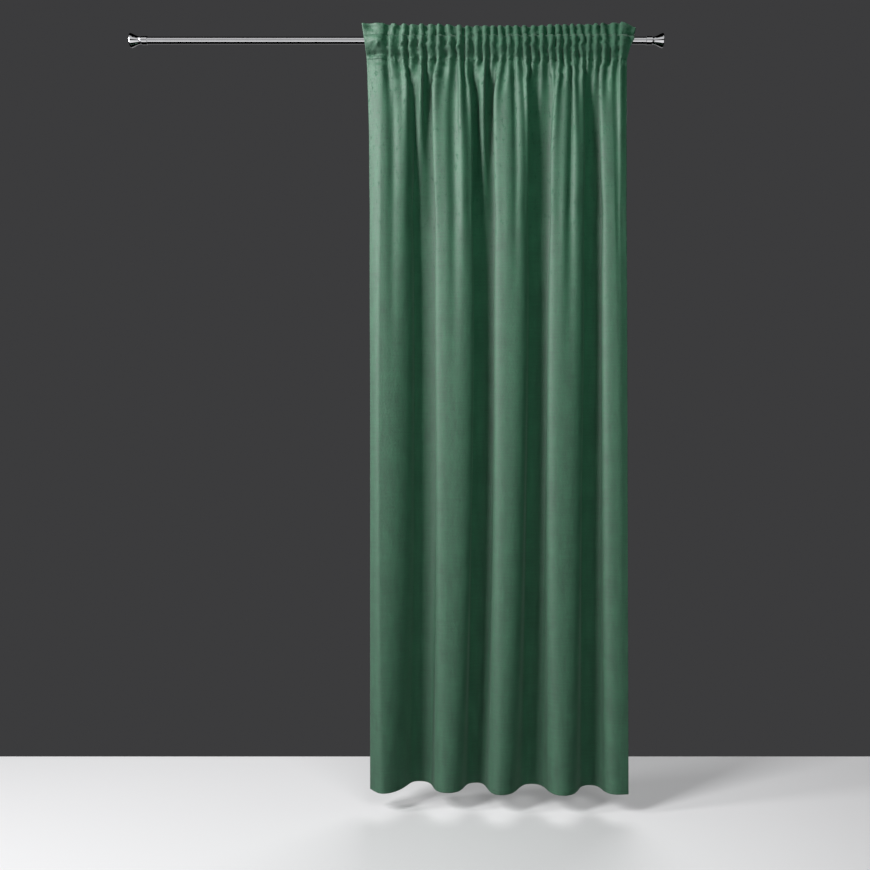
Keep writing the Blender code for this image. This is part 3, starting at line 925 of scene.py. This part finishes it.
def chrome_material():
    nodes = Nodes("chrome")
    place = nodes.object_place()
    haze = nodes.noise(place, *CHROME_HAZE)
    polish = nodes.noise(place, *CHROME_POLISH)
    wear = nodes.weighted(zip((haze, polish), CHROME_PARTS))
    return nodes.shaded(
        {
            "Base Color": nodes.mixed(haze, *CHROME_COLOURS),
            "Metallic": 1.0,
            "Roughness": nodes.ramp(wear, *MIDDLE_NOISE, *CHROME_ROUGHNESS),
            "Normal": nodes.bump(polish, *CHROME_BUMP),
        }
    )


def floor_material():
    nodes = Nodes("pale floor")
    clouds = nodes.noise(nodes.object_place(), *FLOOR_CLOUDS)
    colour = nodes.mixed(clouds, *FLOOR_COLOURS)
    return nodes.shaded({"Base Color": colour, "Roughness": FLOOR_ROUGHNESS})


# ---------------------------------------------------------------- light, floor and camera

FLOOR_Z = -2.710
FLOOR_WIDTH = 14.0
FLOOR_DEPTH = (0.55, -7.0)  # y of its back and front edge

STUDIO_LIGHTS = (  # name, place, what it aims at, size, watts, whether it glints on what it lights
    ("key", (-2.9, -2.7, 1.10), (0.36, 0.0, -0.35), (1.2, 2.0), 222.0, True),
    ("side", (-3.5, -1.1, 0.2), (0.20, 0.0, -0.6), (0.6, 2.2), 72.0, True),
    ("fill", (1.6, -4.6, 0.9), (0.36, 0.0, -1.0), (3.0, 2.0), 96.0, False),
    ("back", (1.3, 3.2, 0.8), (0.36, 0.0, -1.2), (3.4, 2.8), 75.0, True),
)
CHROME_BANDS = (  # name, place, size, watts: what the polished pieces mirror
    ("high band", (0.1, -3.00, 1.75), (6.0, 2.9), 38.0),
    ("low band", (0.1, -3.07, -2.86), (6.0, 3.2), 62.0),
    ("band behind", (0.1, 3.00, -0.20), (6.0, 2.4), 14.0),
    ("left end", (-3.4, 0.0, 0.9), (2.4, 2.0), 14.0),
    ("right end", (3.6, 0.0, 0.9), (2.4, 2.0), 14.0),
)
BANDS_AIM = (0.1, 0.0, 0.0)
WORLD_COLOUR = (0.50, 0.50, 0.52, 1.0)
WORLD_STRENGTH = 0.09

CAMERA_PLACE = (0.135, -3.400, -1.392)
CAMERA_LENS_MM = 39.87
SENSOR_MM = 36.0
CAMERA_REACH = 60.0


def build_floor():
    back, front = FLOOR_DEPTH
    bpy.ops.mesh.primitive_plane_add(size=1.0, location=(0.0, (back + front) / 2, FLOOR_Z))
    floor = bpy.context.object
    floor.scale = (FLOOR_WIDTH, back - front, 1.0)
    floor.name = "floor"
    floor.data.materials.append(floor_material())
    floor.visible_glossy = False


def area_light(name, place, aim, size, power, glints=True):
    lamp = bpy.data.lights.new(name, "AREA")
    lamp.shape = "RECTANGLE"
    lamp.size, lamp.size_y = size
    lamp.energy = power
    made = in_scene(name, lamp)
    made.location = place
    made.rotation_euler = (Vector(aim) - Vector(place)).to_track_quat("-Z", "Y").to_euler()
    made.visible_glossy = glints
    return made


def receivers(name, pieces, link_state):
    """A collection for light linking that takes in only these pieces, or leaves only them out."""
    made = bpy.data.collections.new(name)
    for piece in pieces:
        made.objects.link(piece)
    for receiver in made.collection_objects:
        receiver.light_linking.link_state = link_state
    return made


def build_light(frame):
    """The studio's lights, and the bands that only the chrome mirrors. The light behind would outline the
    pole, so it leaves the chrome out."""
    chrome = [frame["nodes"][name] for name in CHROME_PIECES]
    polished = receivers("polished pieces", chrome, "INCLUDE")
    unpolished = receivers("all but the polished pieces", chrome, "EXCLUDE")
    lights = {light[0]: area_light(*light) for light in STUDIO_LIGHTS}
    lights["back"].visible_camera = False
    lights["back"].light_linking.receiver_collection = unpolished
    for name, place, size, power in CHROME_BANDS:
        band = area_light(name, place, BANDS_AIM, size, power)
        band.light_linking.receiver_collection = polished


def build_surround():
    """An even, faint light all round, which nothing mirrors."""
    world = bpy.data.worlds.new("studio")
    world.use_nodes = True
    background = world.node_tree.nodes["Background"]
    background.inputs["Color"].default_value = WORLD_COLOUR
    background.inputs["Strength"].default_value = WORLD_STRENGTH
    bpy.context.scene.world = world
    world.cycles_visibility.glossy = False


def build_camera():
    camera = bpy.data.cameras.new("camera")
    camera.lens = CAMERA_LENS_MM
    camera.sensor_width = SENSOR_MM
    camera.clip_end = CAMERA_REACH
    made = in_scene("camera", camera)
    made.location = CAMERA_PLACE
    made.rotation_euler = (math.pi / 2, 0.0, 0.0)
    bpy.context.scene.camera = made


# ---------------------------------------------------------------- the scene


def dress_frame(frame):
    chrome = chrome_material()
    for name in CHROME_PIECES:
        node = frame["nodes"][name]
        node.data.materials.clear()
        node.data.materials.append(chrome)


def dress_cloth():
    sheet = build_sheet()
    sheet.data.materials.append(velvet_material())
    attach(sheet, "root")
    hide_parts("velvet_panel")
    stitches = build_stitches()
    stitches.data.materials.append(thread_material())
    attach(stitches, "root")


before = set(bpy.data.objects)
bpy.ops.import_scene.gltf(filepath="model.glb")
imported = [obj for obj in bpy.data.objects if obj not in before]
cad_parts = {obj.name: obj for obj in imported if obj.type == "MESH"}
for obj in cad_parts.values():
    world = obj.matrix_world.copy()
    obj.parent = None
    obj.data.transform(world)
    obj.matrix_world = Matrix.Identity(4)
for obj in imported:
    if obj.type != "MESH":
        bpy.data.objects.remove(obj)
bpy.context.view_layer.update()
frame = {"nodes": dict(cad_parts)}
dress_frame(frame)
dress_cloth()
build_floor()
build_light(frame)
build_surround()
build_camera()
bpy.context.scene.view_settings.view_transform = "Standard"
